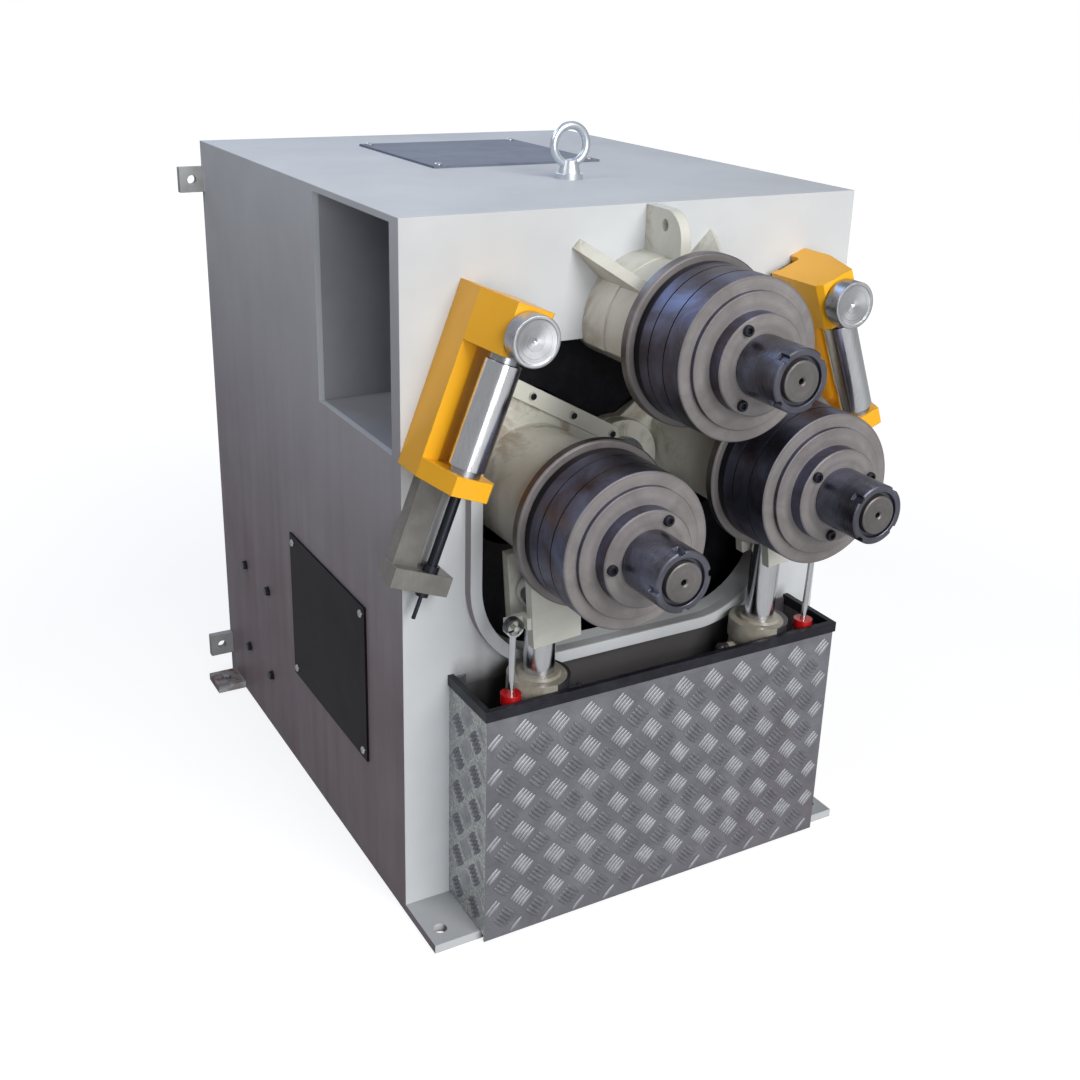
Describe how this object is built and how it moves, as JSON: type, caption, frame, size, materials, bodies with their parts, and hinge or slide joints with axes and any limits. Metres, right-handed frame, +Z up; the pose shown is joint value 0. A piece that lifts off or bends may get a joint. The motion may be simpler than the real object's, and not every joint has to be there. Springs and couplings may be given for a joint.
{
  "type": "three-roll section bending machine",
  "caption": "Floor-standing hydraulic ring roller: fixed top roll, two swing-arm rolls on rams, lateral guides and a tread-plate guard on a welded cabinet.",
  "frame": {"origin": "on the floor, on the middle plane, at the plane of the front plate's face", "axes": "+Z up, +Y from the front plate to the back, +X to the right as seen from the front; the rolls stick out towards -Y"},
  "size_m": [0.744, 1.0575, 0.9871],
  "materials": {
    "grey_paint": "satin",
    "cream_paint": "satin",
    "dark_paint": "satin",
    "yellow_paint": "gloss",
    "zinc_steel": "zinc plated",
    "turned_steel": "turned",
    "roll_steel": "turned and hardened",
    "dark_steel": "blackened",
    "chromed_steel": "polished",
    "cast_iron": "painted casting",
    "black_rubber": "matt",
    "red_plastic": "gloss",
    "tread_aluminium": "quintet tread pattern"
  },
  "bodies": {
    "machine": {"base_plate": "grey_paint", "front_plate": "cream_paint", "cabinet_shell": "grey_paint", "pocket_liners": "grey_paint", "case_covers": "dark_paint", "case_screws": "zinc_steel", "eye_bolt": "zinc_steel", "inner_frame": "cream_paint", "arm_pivot_shaft": "turned_steel", "opening_curtain": "black_rubber", "top_bearing_housing": "cream_paint", "top_bearings": "turned_steel", "top_gearmotor": "cast_iron", "cylinder_feet": "dark_paint", "treadplate_box": "tread_aluminium", "box_edge_trim": "black_rubber", "left_guide_bar": "turned_steel", "right_guide_bar": "turned_steel", "power_pack": "dark_paint"},
    "top_roll": {"top_roll_shaft": "turned_steel", "top_roll_back_disc": "dark_steel", "top_roll_barrel": "roll_steel", "top_roll_screws": "dark_steel", "top_roll_nut": "dark_steel"},
    "left_arm": {"left_arm": "cream_paint", "left_curtain_strip": "cream_paint", "left_bearings": "turned_steel", "left_gearmotor": "cast_iron"},
    "left_roll": {"left_roll_shaft": "turned_steel", "left_roll_back_disc": "dark_steel", "left_roll_barrel": "roll_steel", "left_roll_screws": "dark_steel", "left_roll_nut": "dark_steel"},
    "left_cylinder": {"left_cylinder": "cream_paint"},
    "left_piston_rod": {"left_piston_rod": "chromed_steel"},
    "left_sensor_tube": {"left_sensor_tube": "red_plastic"},
    "left_sensor_rod": {"left_sensor_rod": "turned_steel"},
    "left_guide": {"left_guide_bracket": "yellow_paint", "left_guide_axle": "dark_steel"},
    "left_guide_roller": {"left_guide_roller": "chromed_steel"},
    "left_guide_head": {"left_guide_head": "turned_steel"},
    "left_guide_screw": {"left_guide_screw": "dark_steel"},
    "right_arm": {"right_arm": "cream_paint", "right_curtain_strip": "cream_paint", "right_bearings": "turned_steel", "right_gearmotor": "cast_iron"},
    "right_roll": {"right_roll_shaft": "turned_steel", "right_roll_back_disc": "dark_steel", "right_roll_barrel": "roll_steel", "right_roll_screws": "dark_steel", "right_roll_nut": "dark_steel"},
    "right_cylinder": {"right_cylinder": "cream_paint"},
    "right_piston_rod": {"right_piston_rod": "chromed_steel"},
    "right_sensor_tube": {"right_sensor_tube": "red_plastic"},
    "right_sensor_rod": {"right_sensor_rod": "turned_steel"},
    "right_guide": {"right_guide_bracket": "yellow_paint", "right_guide_axle": "dark_steel"},
    "right_guide_roller": {"right_guide_roller": "chromed_steel"},
    "right_guide_head": {"right_guide_head": "turned_steel"},
    "right_guide_screw": {"right_guide_screw": "dark_steel"}
  },
  "joints": [
    {"name": "top_roll_spin", "type": "hinge", "parent": "machine", "child": "top_roll", "pos_m": [0, -0.17, 0.772], "axis": [0, 1, 0], "continuous": true},
    {"name": "left_arm_swing", "type": "hinge", "parent": "machine", "child": "left_arm", "pos_m": [0, 0.04, 0.577], "axis": [0, 1, 0], "range_deg": [-6.8, 14.2]},
    {"name": "left_roll_spin", "type": "hinge", "parent": "left_arm", "child": "left_roll", "pos_m": [-0.13464, -0.17, 0.56711], "axis": [0, 1, 0], "continuous": true},
    {"name": "left_cylinder_rock", "type": "hinge", "parent": "machine", "child": "left_cylinder", "pos_m": [-0.172, -0.0565, 0.06], "axis": [0, -1, 0], "range_deg": [-1.9, 3.92]},
    {"name": "left_cylinder_slide", "type": "slide", "parent": "left_cylinder", "child": "left_piston_rod", "axis": [0.0216, 0, 0.9998], "range_m": [-0.02025, 0.04197]},
    {"name": "left_sensor_rock", "type": "hinge", "parent": "machine", "child": "left_sensor_tube", "pos_m": [-0.225, -0.084, 0.06], "axis": [0, -1, 0], "range_deg": [-2.24, 4.62]},
    {"name": "left_sensor_slide", "type": "slide", "parent": "left_sensor_tube", "child": "left_sensor_rod", "axis": [0.0183, 0, 0.9998], "range_m": [-0.02681, 0.05566]},
    {"name": "left_guide_slide", "type": "slide", "parent": "machine", "child": "left_guide", "axis": [0.3584, 0, 0.9336], "range_m": [-0.085, 0.01]},
    {"name": "left_guide_screw_turn", "type": "hinge", "parent": "machine", "child": "left_guide_screw", "pos_m": [-0.30501, -0.026, 0.48893], "axis": [0.3584, 0, 0.9336], "range_deg": [-6135, 735]},
    {"name": "left_guide_roller_spin", "type": "hinge", "parent": "left_guide", "child": "left_guide_roller", "pos_m": [-0.262, -0.089, 0.707], "axis": [0.3584, 0, 0.9336], "continuous": true},
    {"name": "left_guide_head_spin", "type": "hinge", "parent": "left_guide", "child": "left_guide_head", "pos_m": [-0.22332, -0.122, 0.79659], "axis": [0, 1, 0], "continuous": true},
    {"name": "right_arm_swing", "type": "hinge", "parent": "machine", "child": "right_arm", "pos_m": [0, 0.04, 0.577], "axis": [0, -1, 0], "range_deg": [-19.6, 1.4]},
    {"name": "right_roll_spin", "type": "hinge", "parent": "right_arm", "child": "right_roll", "pos_m": [0.13348, -0.17, 0.59719], "axis": [0, 1, 0], "continuous": true},
    {"name": "right_cylinder_rock", "type": "hinge", "parent": "machine", "child": "right_cylinder", "pos_m": [0.172, -0.0565, 0.06], "axis": [0, 1, 0], "range_deg": [-5.24, 0.42]},
    {"name": "right_cylinder_slide", "type": "slide", "parent": "right_cylinder", "child": "right_piston_rod", "axis": [0.0334, 0, 0.9994], "range_m": [-0.05891, 0.00449]},
    {"name": "right_sensor_rock", "type": "hinge", "parent": "machine", "child": "right_sensor_tube", "pos_m": [0.225, -0.084, 0.06], "axis": [0, 1, 0], "range_deg": [-6.16, 0.49]},
    {"name": "right_sensor_slide", "type": "slide", "parent": "right_sensor_tube", "child": "right_sensor_rod", "axis": [0.0452, 0, 0.999], "range_m": [-0.07815, 0.00586]},
    {"name": "right_guide_slide", "type": "slide", "parent": "machine", "child": "right_guide", "axis": [-0.3584, 0, 0.9336], "range_m": [-0.085, 0.01]},
    {"name": "right_guide_screw_turn", "type": "hinge", "parent": "machine", "child": "right_guide_screw", "pos_m": [0.30501, -0.026, 0.48893], "axis": [-0.3584, 0, 0.9336], "range_deg": [-6135, 735]},
    {"name": "right_guide_roller_spin", "type": "hinge", "parent": "right_guide", "child": "right_guide_roller", "pos_m": [0.262, -0.089, 0.707], "axis": [-0.3584, 0, 0.9336], "continuous": true},
    {"name": "right_guide_head_spin", "type": "hinge", "parent": "right_guide", "child": "right_guide_head", "pos_m": [0.22332, -0.122, 0.79659], "axis": [0, 1, 0], "continuous": true}
  ],
  "couplings": [
    {"joint": "left_roll_spin", "follows": "top_roll_spin", "ratio": -1},
    {"joint": "left_cylinder_rock", "follows": "left_arm_swing", "ratio": 0.27258},
    {"joint": "left_cylinder_slide", "follows": "left_arm_swing", "m_per_rad": 0.16813},
    {"joint": "left_sensor_rock", "follows": "left_arm_swing", "ratio": 0.32192},
    {"joint": "left_sensor_slide", "follows": "left_arm_swing", "m_per_rad": 0.22338},
    {"joint": "left_guide_screw_turn", "follows": "left_guide_slide", "rad_per_m": 1256.6},
    {"joint": "right_roll_spin", "follows": "top_roll_spin", "ratio": -1},
    {"joint": "right_cylinder_rock", "follows": "right_arm_swing", "ratio": 0.2647},
    {"joint": "right_cylinder_slide", "follows": "right_arm_swing", "m_per_rad": 0.17134},
    {"joint": "right_sensor_rock", "follows": "right_arm_swing", "ratio": 0.31147},
    {"joint": "right_sensor_slide", "follows": "right_arm_swing", "m_per_rad": 0.22757},
    {"joint": "right_guide_screw_turn", "follows": "right_guide_slide", "rad_per_m": 1256.6}
  ]
}
